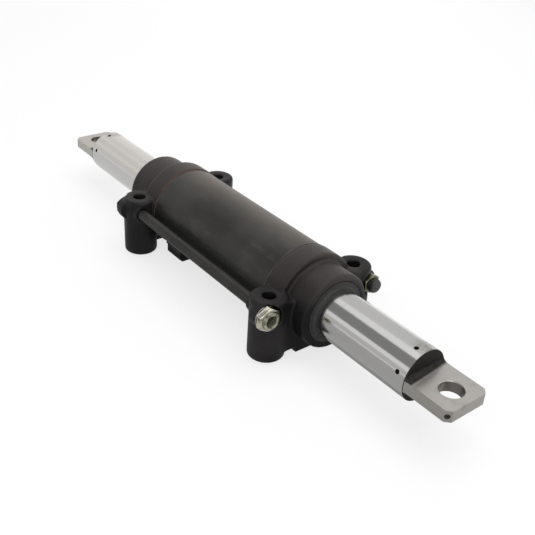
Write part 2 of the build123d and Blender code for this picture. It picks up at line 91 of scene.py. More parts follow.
def deselectAll():
    if bpy.context.object and bpy.context.object.mode != "OBJECT":
        bpy.ops.object.mode_set(mode="OBJECT")
    bpy.ops.object.select_all(action="DESELECT")


def makeActive(piece):
    deselectAll()
    piece.select_set(True)
    bpy.context.view_layer.objects.active = piece


def bakePlace(piece):
    # the finished object sits at the origin, with its place in its mesh
    makeActive(piece)
    bpy.ops.object.transform_apply(location=True, rotation=True, scale=True)


def copyOfNode(node, name):
    # a CAD node is loose triangles, so its copy's doubles are merged
    makeActive(nodes[node])
    bpy.ops.object.duplicate()
    piece = bpy.context.object
    nameBoth(piece, name)
    piece.data.materials.clear()
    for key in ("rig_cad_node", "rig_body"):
        if key in piece:
            del piece[key]
    world = piece.matrix_world.copy()
    piece.parent = None
    piece.matrix_world = world
    bpy.ops.mesh.customdata_custom_splitnormals_clear()
    bpy.ops.object.mode_set(mode="EDIT")
    bpy.ops.mesh.select_all(action="SELECT")
    bpy.ops.mesh.remove_doubles(threshold=0.005 * mm)
    bpy.ops.mesh.select_all(action="DESELECT")
    bpy.ops.object.mode_set(mode="OBJECT")
    return piece


def applyModifier(piece, kind, **settings):
    makeActive(piece)
    modifier = piece.modifiers.new(kind.lower(), kind)
    for key, value in settings.items():
        setattr(modifier, key, value)
    bpy.ops.object.modifier_apply(modifier=modifier.name)


def barAlongX(name, start, end, y, height, radius, sides=64, turn=0.0, farRadius=None):
    # a round or hexagonal bar, or a cone with farRadius, whose axis lies along X
    deselectAll()
    turned = Matrix.Rotation(math.pi / 2, 4, "Y") @ Matrix.Rotation(turn, 4, "Z")
    bpy.ops.mesh.primitive_cone_add(
        vertices=sides,
        radius1=radius * mm,
        radius2=(radius if farRadius is None else farRadius) * mm,
        depth=(end - start) * mm,
        location=((start + end) / 2 * mm, y * mm, height * mm),
        rotation=turned.to_euler(),
    )
    piece = bpy.context.object
    nameBoth(piece, name)
    bakePlace(piece)
    return piece


def carve(piece, tool, operation):
    makeActive(piece)
    cut = piece.modifiers.new("carve", "BOOLEAN")
    cut.operation = operation
    cut.solver = "EXACT"
    cut.object = tool
    bpy.ops.object.modifier_apply(modifier=cut.name)
    bpy.data.objects.remove(tool, do_unlink=True)


def pickFaces(piece, wanted):
    # into edit mode with only the wanted faces selected
    makeActive(piece)
    bpy.ops.object.mode_set(mode="EDIT")
    bpy.ops.mesh.select_mode(type="FACE")
    bpy.ops.mesh.select_all(action="DESELECT")
    bpy.ops.object.mode_set(mode="OBJECT")
    for face in piece.data.polygons:
        face.select = wanted(face)
    bpy.ops.object.mode_set(mode="EDIT")


def easeEdges(piece, width):
    sharp = math.radians(32)
    applyModifier(
        piece,
        "BEVEL",
        width=width * mm,
        segments=2,
        limit_method="ANGLE",
        angle_limit=sharp,
    )
    makeActive(piece)
    bpy.ops.object.shade_smooth_by_angle(angle=sharp)


def joinPieces(pieces, name):
    deselectAll()
    for piece in pieces:
        piece.select_set(True)
    bpy.context.view_layer.objects.active = pieces[0]
    bpy.ops.object.join()
    nameBoth(pieces[0], name)
    return pieces[0]


def ringAboutX(name, station, y, height, radius, thickness, around=96, across=16):
    # a torus whose axis lies along X
    deselectAll()
    bpy.ops.mesh.primitive_torus_add(
        location=(station * mm, y * mm, height * mm),
        rotation=(0, math.pi / 2, 0),
        major_radius=radius * mm,
        minor_radius=thickness * mm,
        major_segments=around,
        minor_segments=across,
    )
    piece = bpy.context.object
    nameBoth(piece, name)
    bakePlace(piece)
    bpy.ops.object.shade_smooth()
    return piece


# ---- camera

camera = {
    "place": (0.5636, -0.4258, 0.4455),
    "yaw": 50.40,
    "pitch": 31.12,
    "roll": 3.87,
    "lens": 51.88,
}


def makeCamera(c):
    yaw, pitch, roll = (math.radians(c[key]) for key in ("yaw", "pitch", "roll"))
    forward = Vector((
        -math.sin(yaw) * math.cos(pitch),
        math.cos(yaw) * math.cos(pitch),
        -math.sin(pitch),
    ))
    levelRight = forward.cross(Vector((0, 0, 1))).normalized()
    levelUp = levelRight.cross(forward)
    right = math.cos(roll) * levelRight + math.sin(roll) * levelUp
    up = -math.sin(roll) * levelRight + math.cos(roll) * levelUp
    data = bpy.data.cameras.new("camera")
    data.sensor_width = 36
    data.lens = c["lens"]
    data.clip_start = 0.01
    data.clip_end = 50
    seer = bpy.data.objects.new("camera", data)
    bpy.context.scene.collection.objects.link(seer)
    turned = Matrix((right, up, -forward)).transposed().to_4x4()
    seer.matrix_world = Matrix.Translation(c["place"]) @ turned
    bpy.context.scene.camera = seer


makeCamera(camera)
bpy.context.scene.view_settings.view_transform = "Standard"
print("camera placed")


# ---- materials

class Wire:
    # one output of a node, which can be added, multiplied and so on
    def __init__(self, finish, socket):
        self.finish = finish
        self.socket = socket

    def maths(self, operation, *values):
        inputs = dict(enumerate(values))
        return self.finish.node("ShaderNodeMath", {"operation": operation}, inputs)

    def __add__(self, other):
        return self.maths("ADD", self, other)

    def __radd__(self, other):
        return self.maths("ADD", other, self)

    def __sub__(self, other):
        return self.maths("SUBTRACT", self, other)

    def __rsub__(self, other):
        return self.maths("SUBTRACT", other, self)

    def __mul__(self, other):
        return self.maths("MULTIPLY", self, other)

    def __rmul__(self, other):
        return self.maths("MULTIPLY", other, self)

    def __pow__(self, other):
        return self.maths("POWER", self, other)

    def __lt__(self, other):
        return self.maths("LESS_THAN", self, other)

    def __abs__(self):
        return self.maths("ABSOLUTE", self)

    def between(self, low, high):
        # 0 at low, 1 at high, smooth in between
        return self.finish.node(
            "ShaderNodeMapRange",
            {"interpolation_type": "SMOOTHSTEP"},
            {"Value": self, "From Min": low, "From Max": high},
        )

    def past(self, span):
        # 0 at the span's start, 1 at its end, in millimetres
        return self.between(*inMetres(span))


class Finish:
    def __init__(self, name, **fixed):
        self.material = bpy.data.materials.new(name)
        self.material.use_nodes = True
        self.tree = self.material.node_tree
        self.shader = self.tree.nodes["Principled BSDF"]
        self.place = self.node("ShaderNodeTexCoord", {}, {}, "Object")
        for key, value in fixed.items():
            self.shader.inputs[key].default_value = value

    def node(self, kind, settings, inputs, output=0):
        made = self.tree.nodes.new(kind)
        for key, value in settings.items():
            setattr(made, key, value)
        for key, value in inputs.items():
            if isinstance(value, Wire):
                self.tree.links.new(value.socket, made.inputs[key])
            else:
                made.inputs[key].default_value = value
        return Wire(self, made.outputs[output])

    def axis(self, letter):
        return self.node("ShaderNodeSeparateXYZ", {}, {"Vector": self.place}, letter)

    def stretched(self, x, y, z):
        inputs = {"Vector": self.place, "Scale": (x, y, z)}
        return self.node("ShaderNodeMapping", {"vector_type": "POINT"}, inputs)

    def noise(self, scale, detail=3, vector=None, roughness=0.5):
        return self.node(
            "ShaderNodeTexNoise",
            {},
            {
                "Vector": vector or self.place,
                "Scale": scale,
                "Detail": detail,
                "Roughness": roughness,
            },
        )

    def mix(self, mask, low, high):
        # the colour mix has its factor at 0, its colours at 6 and 7, its result at 2
        return self.node("ShaderNodeMix", {"data_type": "RGBA"}, {0: mask, 6: low, 7: high}, 2)

    def bump(self, height, distance, strength, after=None):
        inputs = {"Height": height, "Distance": distance, "Strength": strength}
        if after:
            inputs["Normal"] = after
        return self.node("ShaderNodeBump", {}, inputs)

    def feed(self, **sockets):
        for key, wire in sockets.items():
            self.tree.links.new(wire.socket, self.shader.inputs[key.replace("_", " ")])

    def radiusFrom(self, acrossY, height):
        # distance from a line parallel to the rod
        y = self.axis("Y") - acrossY * mm
        z = self.axis("Z") - height * mm
        return (y * y + z * z) ** 0.5


def shade(red, green, blue):
    return (red, green, blue, 1)


def wear(piece, finish):
    piece.data.materials.clear()
    piece.data.materials.append(finish.material)


# marks on the paint, as spans in millimetres over which each comes or goes
marks = {
    "besideFeet": (46, 50),
    "shoulderFaces": (0.687, 0.727),  # the share of Y and of Z in the way it faces
    "shoulder": (18, 44),
    "shoulderHeight": (40, 76),
    "rimWidth": (0.5, 4.5),
    "rimHeight": (62, 84),
}


def betweenFeet(f, m):
    return 1 - abs(f.axis("Y")).past(m["besideFeet"])


def dustAndSheenOnShoulder(f, m):
    # the upper far shoulder of the barrel and its collars is made lighter: dust, with a painted
    # highlight
    farShare, upShare = m["shoulderFaces"]
    rise = f.axis("Z") - cylinder["axisHeight"] * mm
    outwards = rise * upShare + f.axis("Y") * farShare
    high = f.axis("Z").past(m["shoulderHeight"])
    wiped = f.noise(38, 4, f.stretched(0.4, 1, 1), 0.6).between(0.35, 0.6) * 0.35 + 0.65
    return outwards.past(m["shoulder"]) * betweenFeet(f, m) * high * wiped


def leftRimWear(f, m):
    # red primer shows through thin paint round the left collar's joint, mostly on top
    station = f.axis("X") + cylinder["collarStart"] * mm
    near = 1 - abs(station).past(m["rimWidth"])
    onTop = f.axis("Z").past(m["rimHeight"])
    thin = f.noise(120, 5, None, 0.65).between(0.4, 0.6)
    return near * onTop * (thin * 0.6 + 0.25)


barrelPaint = {
    "deep": shade(0.013, 0.0128, 0.0115),
    "dusty": shade(0.029, 0.028, 0.0245),
    "scuff": shade(0.066, 0.063, 0.054),
    "primer": shade(0.085, 0.045, 0.035),
    # pale tone for dust with a painted highlight
    "dustAndSheen": shade(0.112, 0.088, 0.07),
    # near black, for painted shade
    "paintedShade": shade(0.0022, 0.0022, 0.0024),
    "roughness": 0.34,
    "gloss": 0.34,
    # spans in millimetres
    "tubeSkin": (45.5, 46),
    "nearSide": (-40, -34),
    "paintedShadeTop": (52.5, 58),
    "paintedShadeFoot": (12, 20),
    "shadeUnderneath": (9, 13),
}


def makeBarrelPaint(p):
    # thin satin paint over a turned tube: faint lathe rings, orange peel and handling scuffs
    f = Finish("barrelPaint", **{"Specular IOR Level": p["gloss"]})
    cloud = f.noise(14, 4)
    scuff = f.noise(60, 6, f.stretched(0.25, 1, 1), 0.65).between(0.55, 0.72)
    dust = f.noise(420, 3).between(0.5, 0.8)
    height = f.axis("Z")
    fromAxis = f.radiusFrom(0, cylinder["axisHeight"])
    onTube = 1 - fromAxis.past(p["tubeSkin"])
    # painted shade, near black: on the tube's near lower side behind the pipe, and on
    # everything lowest down
    nearSide = 1 - f.axis("Y").past(p["nearSide"])
    belowTop = 1 - height.past(p["paintedShadeTop"])
    band = belowTop * height.past(p["paintedShadeFoot"])
    shadeBehindPipe = nearSide * onTube * band
    shadeUnderneath = 1 - height.past(p["shadeUnderneath"])
    paintedShade = shadeBehindPipe.maths("MAXIMUM", shadeBehindPipe, shadeUnderneath)
    tone = f.mix(cloud.between(0.35, 0.68), p["deep"], p["dusty"])
    # lighter on the upper far shoulder: dust, with a painted highlight
    tone = f.mix(dustAndSheenOnShoulder(f, marks) * (cloud * 0.5 + 0.45), tone, p["dustAndSheen"])
    tone = f.mix(leftRimWear(f, marks), tone, p["primer"])
    tone = f.mix(scuff * 0.35, tone, p["scuff"])
    tone = f.mix(dust * 0.1, tone, p["scuff"])
    # the pipe, the saddle and the welds, off the tube, get the same painted shade at about half
    # strength
    tone = f.mix((1 - onTube) * 0.45, tone, p["paintedShade"])
    tone = f.mix(paintedShade, tone, p["paintedShade"])
    peel = f.noise(900, 2)
    rings = f.noise(700, 2, f.stretched(1, 0.02, 0.02))
    relief = f.bump(peel, 0.00005, 0.5)
    relief = f.bump(rings, 0.00003, 0.35, relief)
    f.feed(
        Base_Color=tone,
        Roughness=cloud * 0.12 + scuff * 0.1 + paintedShade * 0.4 + p["roughness"],
        Normal=relief,
    )
    return f


castPaint = {
    "deep": shade(0.006, 0.0053, 0.0054),
    "dusty": shade(0.0165, 0.0145, 0.0148),
    "grit": shade(0.03, 0.026, 0.026),
    "rust": shade(0.06, 0.035, 0.024),
    "bare": shade(0.34, 0.33, 0.31),
    "primer": shade(0.075, 0.038, 0.03),
    # near black, for painted shade under the heads
    "underShade": shade(0.0016, 0.0014, 0.0017),
    # pale tone for dust with a painted highlight
    "dustAndSheen": shade(0.06, 0.05, 0.045),
    "gloss": 0.21,
    # spans in millimetres
    "padHeight": 0.7,
    "above": (58, 84),
    "underShadeSide": (36, 48),
    "underShadeHeight": (28, 66),
}


def makeCastPaint(p):
    # paint over sand-cast iron, bare and milled under the feet
    f = Finish("castPaint", **{"Specular IOR Level": p["gloss"]})
    cloud = f.noise(22, 4)
    grain = f.noise(520, 4, None, 0.6)
    pits = f.node("ShaderNodeTexVoronoi", {}, {"Vector": f.place, "Scale": 330})
    chips = f.noise(95, 5, None, 0.7).between(0.66, 0.7)
    height = f.axis("Z")
    pad = height < p["padHeight"] * mm
    # the tops of the heads and their upper far shoulders are lighter: dust, with a painted
    # highlight
    above = height.past(p["above"]) * betweenFeet(f, marks)
    dust = above * 0.35 + dustAndSheenOnShoulder(f, marks) * (cloud * 0.4 + 0.25)
    tone = f.mix(cloud.between(0.35, 0.7), p["deep"], p["dusty"])
    tone = f.mix(dust, tone, p["dustAndSheen"])
    tone = f.mix(leftRimWear(f, marks), tone, p["primer"])
    tone = f.mix(grain.between(0.5, 0.8) * 0.35, tone, p["grit"])
    tone = f.mix(chips * 0.25, tone, p["rust"])
    # painted shade, near black, on the lower middle of each head, between the feet and under
    # the neck
    middle = 1 - abs(f.axis("Y")).past(p["underShadeSide"])
    underShade = middle * (1 - height.past(p["underShadeHeight"]))
    tone = f.mix(underShade * 0.9, tone, p["underShade"])
    tone = f.mix(pad, tone, p["bare"])
    milled = f.noise(900, 2, f.stretched(1, 0.03, 1))
    relief = f.bump(grain, 0.00022, 0.55)
    relief = f.bump(pits, 0.00018, 0.25, relief)
    relief = f.bump(milled * pad, 0.00003, 0.5, relief)
    f.feed(
        Base_Color=tone,
        Metallic=pad * 0.9,
        Roughness=cloud * 0.16 + grain * 0.12 + 0.3,
        Normal=relief,
    )
    return f


rodChrome = {
    "chrome": shade(0.64, 0.64, 0.63),
    "smear": shade(0.5, 0.5, 0.48),
    "steel": shade(0.5, 0.485, 0.455),
    # grease on the tangs, and painted shade in the eye's bore
    "greaseAndShade": shade(0.16, 0.15, 0.13),
    # near black, for the step's face and for the painted shadow below the step
    "scale": shade(0.016, 0.014, 0.012),
    "burnt": shade(0.2, 0.19, 0.15),
    "gloss": 0.12,
    # spans in millimetres, along the rod from the step or out from a centre
    "chromeEnd": (-1.2, -0.6),
    "skin": (24.4, 24.7),
    "faceStart": (-0.9, -0.6),
    "faceEnd": (0, 0.4),
    "flat": (5.2, 5.6),
    "stepShadowEnd": (3.5, 7.5),
    "stepShadowSlant": 0.09,
    "burntStart": (-21, -9),
    "burntSide": (-9, -1),
    "eye": (10.6, 10.85),
}


def makeRodChrome(p):
    # hard chrome between the steps, milled bare steel on the tangs beyond them
    f = Finish("rodChrome", **{"Specular IOR Level": p["gloss"]})
    y = f.axis("Y")
    along = abs(f.axis("X") - cylinder["rodSlid"] * mm)
    fromStep = along - cylinder["stepFromCentre"] * mm
    fromAxis = f.radiusFrom(0, cylinder["axisHeight"])
    onTang = fromStep.past(p["chromeEnd"])
    inside = 1 - fromAxis.past(p["skin"])
    bare = onTang.maths("MAXIMUM", onTang, inside)
    cloud = f.noise(10, 3)
    polish = f.noise(2600, 2, f.stretched(1, 0.02, 0.02))
    smear = f.noise(45, 5, f.stretched(0.12, 1, 1), 0.6)
    milled = f.noise(1500, 3, f.stretched(1, 0.05, 1))
    oil = f.noise(70, 4).between(0.52, 0.75) * bare
    # the step's face is painted near black and not metallic, and a painted shadow of the step
    # lies on the tang's flat just below it, tapering across the flat
    beforeEnd = 1 - fromStep.past(p["faceEnd"])
    face = fromStep.past(p["faceStart"]) * beforeEnd
    fromMiddle = abs(f.axis("Z") - cylinder["axisHeight"] * mm)
    onFlat = fromMiddle.past(p["flat"])
    slant = fromStep + y * p["stepShadowSlant"]
    stepShadow = (1 - slant.past(p["stepShadowEnd"])) * bare * onFlat
    ragged = f.noise(260, 4).between(0.35, 0.65)
    scale = face.maths("MAXIMUM", face, stepShadow * (ragged * 0.03 + 0.965))
    # the eye's bore is painted darker: painted shade in the hollow
    acrossEye = along - (cylinder["rodTip"] - cylinder["eyeInset"]) * mm
    fromEye = (acrossEye * acrossEye + y * y) ** 0.5
    bore = 1 - fromEye.past(p["eye"])
    # the chrome is burnt brown in patches beside the step, most on the far side
    beside = fromStep.past(p["burntStart"]) * y.past(p["burntSide"])
    patches = f.noise(170, 4, None, 0.6).between(0.4, 0.58) * 0.6 + 0.4
    burnt = beside * patches * (1 - bare)
    tone = f.mix(bare, p["chrome"], p["steel"])
    tone = f.mix(smear.between(0.4, 0.75) * 0.16, tone, p["smear"])
    tone = f.mix(oil * 0.35, tone, p["greaseAndShade"])
    tone = f.mix(bore * 0.7, tone, p["greaseAndShade"])
    tone = f.mix(burnt * 0.62, tone, p["burnt"])
    tone = f.mix(scale, tone, p["scale"])
    relief = f.bump(polish * (1 - bare), 0.000004, 0.5)
    relief = f.bump(milled * bare, 0.00003, 0.5, relief)
    polished = smear * 0.05 + cloud * 0.04 + 0.1
    f.feed(
        Base_Color=tone,
        Metallic=1 - scale,
        Roughness=polished + (bare + scale + burnt) * 0.2,
        Normal=relief,
    )
    return f


def makeTurnedMetal(name, light, dark, roughness, ringScale):
    # turned or drawn metal with fine tool rings and light stains
    f = Finish(name, Metallic=1.0)
    stain = f.noise(160, 4)
    rings = f.noise(ringScale, 2, f.stretched(1, 0.03, 0.03))
    nicks = f.noise(500, 3).between(0.62, 0.75)
    tone = f.mix(stain.between(0.35, 0.7), light, dark)
    relief = f.bump(rings, 0.00002, 0.5)
    relief = f.bump(nicks, 0.00004, 0.3, relief)
    f.feed(
        Base_Color=tone,
        Roughness=stain * 0.18 + nicks * 0.1 + roughness,
        Normal=relief,
    )
    return f


def makeSoftFinish(name, light, dark, roughness, grainScale):
    # rubber and plastic: fine grain, faint bloom
    f = Finish(name)
    bloom = f.noise(90, 4)
    grain = f.noise(grainScale, 3)
    tone = f.mix(bloom.between(0.35, 0.7), dark, light)
    f.feed(
        Base_Color=tone,
        Roughness=bloom * 0.15 + grain * 0.06 + roughness,
        Normal=f.bump(grain, 0.00003, 0.4),
    )
    return f


portZinc = {
    # near and far are one zinc: the near copy is painted lighter, as lit, and the far copy much
    # darker, as painted shade
    "near": {
        "light": shade(0.82, 0.79, 0.66),
        "dark": shade(0.2, 0.19, 0.1),
        "roughness": 0.2,
        "stains": (0.5, 0.66),
    },
    "far": {
        "light": shade(0.3, 0.3, 0.2),
        "dark": shade(0.13, 0.13, 0.075),
        "roughness": 0.34,
        "stains": (0.35, 0.65),
    },
    # dark tone for oil round the mouth and for painted shade inside it
    "oil": shade(0.02, 0.018, 0.012),
    # spans in millimetres, out from the mouth's edge
    "mouthEdge": (-0.25, 0.15),
    "ringStart": (1.8, 3.0),
    "ringEnd": (3.1, 3.9),
}


def makePortZinc(name, port, mouthY, mouthHeight, mouthRadius):
    # yellow-passivated zinc, stained in patches; the inside of the mouth is painted near black,
    # a painted shade in the hollow
    f = Finish(name)
    p, oil = portZinc[port], portZinc["oil"]
    stain = f.noise(190, 4, None, 0.6).between(*p["stains"])
    rings = f.noise(1200, 2, f.stretched(1, 0.03, 0.03))
    nicks = f.noise(520, 3).between(0.6, 0.75)
    fromEdge = f.radiusFrom(mouthY, mouthHeight) - mouthRadius * mm
    inside = 1 - fromEdge.past(portZinc["mouthEdge"])
    withinRing = 1 - fromEdge.past(portZinc["ringEnd"])
    ringGrime = fromEdge.past(portZinc["ringStart"]) * withinRing
    tone = f.mix(stain, p["light"], p["dark"])
    tone = f.mix(ringGrime * 0.55, tone, oil)
    # painted shade inside the mouth
    tone = f.mix(inside * 0.92, tone, oil)
    relief = f.bump(rings, 0.00002, 0.5)
    relief = f.bump(nicks, 0.00004, 0.3, relief)
    f.feed(
        Base_Color=tone,
        Metallic=1 - inside * 0.6,
        Roughness=stain * 0.15 + nicks * 0.1 + p["roughness"],
        Normal=relief,
    )
    return f


finishes = {
    "barrel_paint": makeBarrelPaint(barrelPaint),
    "head_paint": makeCastPaint(castPaint),
    "rod_chrome": makeRodChrome(rodChrome),
    "guide_iron": makeTurnedMetal(
        "guideIron", shade(0.36, 0.35, 0.34), shade(0.24, 0.23, 0.22), 0.32, 1400
    ),
    "bronze": makeTurnedMetal(
        "bushBronze", shade(0.6, 0.42, 0.22), shade(0.42, 0.28, 0.14), 0.3, 1600
    ),
    "steel": makeTurnedMetal(
        "brightSteel", shade(0.5, 0.5, 0.49), shade(0.33, 0.32, 0.31), 0.28, 1500
    ),
    "zinc": makeTurnedMetal(
        "yellowZinc", shade(0.62, 0.58, 0.42), shade(0.42, 0.38, 0.24), 0.26, 1200
    ),
    "seal_rubber": makeSoftFinish(
        "sealRubber", shade(0.03, 0.03, 0.03), shade(0.014, 0.014, 0.014), 0.5, 1500
    ),
    "seal_plastic": makeSoftFinish(
        "sealPlastic", shade(0.2, 0.25, 0.16), shade(0.11, 0.15, 0.09), 0.42, 1300
    ),
    "cap_plastic": makeSoftFinish(
        "capPlastic", shade(0.028, 0.028, 0.026), shade(0.014, 0.014, 0.013), 0.28, 1100
    ),
}
for part in frame["record"]["subparts"]:
    wear(nodes[part["node"]], finishes[part["material_slot"]])
print("materials made:", len(finishes))


# ---- castings: sand-cast corners are round, so each head is remeshed and eased

casting = {"voxel": 0.0011, "easing": 0.5, "passes": 6}


def roundCasting(node, name, c):
    piece = copyOfNode(node, name)
    applyModifier(piece, "REMESH", mode="VOXEL", voxel_size=c["voxel"])
    applyModifier(piece, "SMOOTH", factor=c["easing"], iterations=c["passes"])
    makeActive(piece)
    bpy.ops.object.shade_smooth()
    wear(piece, finishes["head_paint"])
    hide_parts(node)
    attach(piece, "cylinder")
    print("casting", name, len(piece.data.polygons), "faces")


roundCasting("head_left", "leftHeadCasting", casting)
roundCasting("head_right", "rightHeadCasting", casting)


# ---- fittings in the ports: chamfered hexes, threads, mouths and a ribbed cap

fitting = {
    "hexLength": 6,
    "flats": 18,
    "nearFlats": 22,
    "chamferLand": 0.3,
    "threadRadius": 4.9,
    "threadDepth": 0.45,
    "threadPitch": 1.25,
    "coreDepth": 0.5,
    "coreEdge": 0.4,
    "neckLength": 1.2,
    "edge": 0.18,
}


def hexHead(name, side, y, height, flats, length):
    # hexagon with the usual 30 degree chamfer turned on its outer end
    seat = cylinder["portFace"] + cylinder["washer"]
    near, far = sorted((side * seat, side * (seat + length)))
    head = barAlongX(
        name, near, far, y, height, flats / math.sqrt(3), sides=6, turn=math.radians(30)
    )
    face = flats / 2 - fitting["chamferLand"]
    foot = face + length * math.sqrt(3)
    low, high = (foot, face) if side > 0 else (face, foot)
    cone = barAlongX("chamferCone", near, far, y, height, low, 96, 0, high)
    carve(head, cone, "INTERSECT")
    return head


def threadRings(name, start, end, y, height, radius, pitch, thickness):
    rings = []
    for turn in range(int(abs(end - start) / pitch)):
        station = start + math.copysign(pitch * (turn + 0.5), end - start)
        rings.append(ringAboutX(name, station, y, height, radius, thickness, 48, 6))
    return rings


def shank(side, y, height, f):
    # the thread that sits in the port
    seat = side * (cylinder["portFace"] + cylinder["washer"])
    tip = side * (cylinder["portFace"] - cylinder["portDepth"] + 1)
    near, far = sorted((seat + side * 0.5, tip))
    core = barAlongX("shank", near, far, y, height, f["threadRadius"] - f["coreDepth"])
    easeEdges(core, f["coreEdge"])
    start = seat - side * f["neckLength"]
    depth = f["threadDepth"]
    radius = f["threadRadius"] - depth
    turns = threadRings("threadTurn", start, tip, y, height, radius, f["threadPitch"], depth)
    return [core] + turns


nearAdapter = {
    "nose": 9,
    "noseLength": 2.4,
    "mouth": 6,
    "mouthDepth": 6,
    "mouthPitch": 1.0,
    "mouthThread": 0.34,
    "bore": 2.5,
}


def makeNearAdapter(a, f):
    y, height = -cylinder["portY"], cylinder["nearPortHeight"]
    seat = cylinder["portFace"] + cylinder["washer"]
    hexEnd = seat + f["hexLength"]
    mouthEnd = hexEnd + a["noseLength"]
    body = hexHead("nearAdapterHex", 1, y, height, f["nearFlats"], f["hexLength"])
    nose = barAlongX("nose", hexEnd - 1, mouthEnd, y, height, a["nose"])
    carve(body, nose, "UNION")
    back = mouthEnd - a["mouthDepth"]
    mouth = barAlongX("mouth", back, mouthEnd + 1, y, height, a["mouth"])
    carve(body, mouth, "DIFFERENCE")
    bore = barAlongX("bore", seat - 1, back + 1, y, height, a["bore"], 32)
    carve(body, bore, "DIFFERENCE")
    easeEdges(body, f["edge"] * 1.4)
    start, end, radius = mouthEnd - 0.8, back + 0.4, a["mouth"] - 0.02
    pitch, depth = a["mouthPitch"], a["mouthThread"]
    turns = threadRings("mouthTurn", start, end, y, height, radius, pitch, depth)
    pieces = [body] + turns + shank(1, y, height, f)
    adapter = joinPieces(pieces, "nearAdapterDetailed")
    finish = makePortZinc("nearZinc", "near", y, height, a["mouth"])
    wear(adapter, finish)
    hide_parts("near_port_adapter")
    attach(adapter, "cylinder")


farAdapter = {"nose": 5.5, "noseLength": 5}


def makeFarAdapter(a, f):
    y, height = cylinder["portY"], cylinder["farPortHeight"]
    seat = cylinder["portFace"] + cylinder["washer"]
    hexEnd = seat + f["hexLength"]
    body = hexHead("farAdapterHex", 1, y, height, f["flats"], f["hexLength"])
    nose = barAlongX("nose", hexEnd - 1, hexEnd + a["noseLength"], y, height, a["nose"])
    carve(body, nose, "UNION")
    easeEdges(body, f["edge"])
    adapter = joinPieces([body] + shank(1, y, height, f), "farAdapterDetailed")
    finish = makePortZinc("farZinc", "far", y, height, 1)
    wear(adapter, finish)
    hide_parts("far_port_adapter")
    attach(adapter, "cylinder")


farCap = {
    "radius": 7.4,
    "length": 6,
    "wall": 1.5,
    "edge": 2.2,
    "ribs": 18,
    "rib": 0.4,
    "ribSunk": 0.1,
    "gap": 0.05,
}


def makeFarCap(c, a, f):
    # moulded plastic cap over the nose, with a domed end and grip ribs
    y, height = cylinder["portY"], cylinder["farPortHeight"]
    noseEnd = cylinder["portFace"] + cylinder["washer"] + f["hexLength"] + a["noseLength"]
    end = noseEnd + c["gap"] + c["wall"]
    start = end - c["length"]
    shell = barAlongX("capShell", start, end, y, height, c["radius"] - c["rib"])
    pickFaces(shell, lambda face: face.center.x > (end - 0.01) * mm)
    bpy.ops.mesh.bevel(offset=c["edge"] * mm, segments=6)
    bpy.ops.object.mode_set(mode="OBJECT")
    hollow = barAlongX("capHollow", start - 1, end - c["wall"], y, height, a["nose"] + c["gap"])
    carve(shell, hollow, "DIFFERENCE")
    easeEdges(shell, 0.15)
    pieces = [shell]
    out = c["radius"] - c["rib"] - c["ribSunk"]
    for turn in range(c["ribs"]):
        angle = 2 * math.pi * turn / c["ribs"]
        rib = barAlongX(
            "capRib",
            start + 0.2,
            end - c["edge"],
            y + out * math.cos(angle),
            height + out * math.sin(angle),
            c["rib"] + c["ribSunk"],
            8,
        )
        bpy.ops.object.shade_smooth_by_angle(angle=math.radians(50))
        pieces.append(rib)
    cap = joinPieces(pieces, "farCapRibbed")
    wear(cap, finishes["cap_plastic"])
    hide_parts("far_port_cap")
    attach(cap, "cylinder")


leftPlugs = {"length": 4, "socket": 8, "socketDepth": 3}


def makeLeftPlugs(p, f):
    pieces = []
    for y, height in (
        (-cylinder["portY"], cylinder["nearPortHeight"]),
        (cylinder["portY"], cylinder["farPortHeight"]),
    ):
        plug = hexHead("plugHex", -1, y, height, f["flats"], p["length"])
        end = -(cylinder["portFace"] + cylinder["washer"] + p["length"])
        bottom, radius = end + p["socketDepth"], p["socket"] / math.sqrt(3)
        socket = barAlongX("socket", end - 1, bottom, y, height, radius, 6)
        carve(plug, socket, "DIFFERENCE")
        easeEdges(plug, f["edge"])
        pieces += [plug] + shank(-1, y, height, f)
    plugs = joinPieces(pieces, "leftPlugsDetailed")
    slotName = next(
        part["material_slot"]
        for part in frame["record"]["subparts"]
        if part["node"] == "left_port_plugs"
    )
    wear(plugs, finishes[slotName])
    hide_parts("left_port_plugs")
    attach(plugs, "cylinder")


makeNearAdapter(nearAdapter, fitting)
makeFarAdapter(farAdapter, fitting)
makeFarCap(farCap, farAdapter, fitting)
makeLeftPlugs(leftPlugs, fitting)
print("fittings made")


# ---- weld beads that hold the saddle to the barrel, as rows of overlapping ripples

weld = {
    "start": -92,
    "end": -66,
    "halfWidth": 32,
    "ripple": 1.9,
    "flattening": 0.75,
    "spacing": 1.5,
    "wobble": 0.16,
    "outset": 0.25,
    "sunk": 0.4,
}


def makeWeld(w):
    drop = math.sqrt(cylinder["barrelRadius"] ** 2 - w["halfWidth"] ** 2)
    height = cylinder["axisHeight"] - drop
    deselectAll()
    bpy.ops.mesh.primitive_uv_sphere_add(segments=14, ring_count=9, radius=w["ripple"] * mm)
    ripple = bpy.context.object
    ripple.name = "ripple"
    ripple.scale = (w["flattening"], 1, 1)
    bakePlace(ripple)
    bpy.ops.object.shade_smooth()
    pieces = []
    count = round((w["end"] - w["start"] - w["ripple"]) / w["spacing"])
    for side in (-1, 1):
        for turn in range(count + 1):
            wobble = w["wobble"] * math.sin(turn * 2.4 + side)
            place = (
                w["start"] + w["ripple"] / 2 + turn * w["spacing"],
                side * (w["halfWidth"] + w["outset"] + wobble),
                height - w["sunk"] + wobble,
            )
            makeActive(ripple)
            bpy.ops.object.duplicate()
            drip = bpy.context.object
            drip.location = inMetres(place)
            bakePlace(drip)
            pieces.append(drip)
    bpy.data.objects.remove(ripple, do_unlink=True)
    beads = joinPieces(pieces, "saddleWelds")
    wear(beads, finishes["barrel_paint"])
    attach(beads, "cylinder")


makeWeld(weld)
print("welds made")


# ---- sealing compound squeezed out where the barrel enters each head

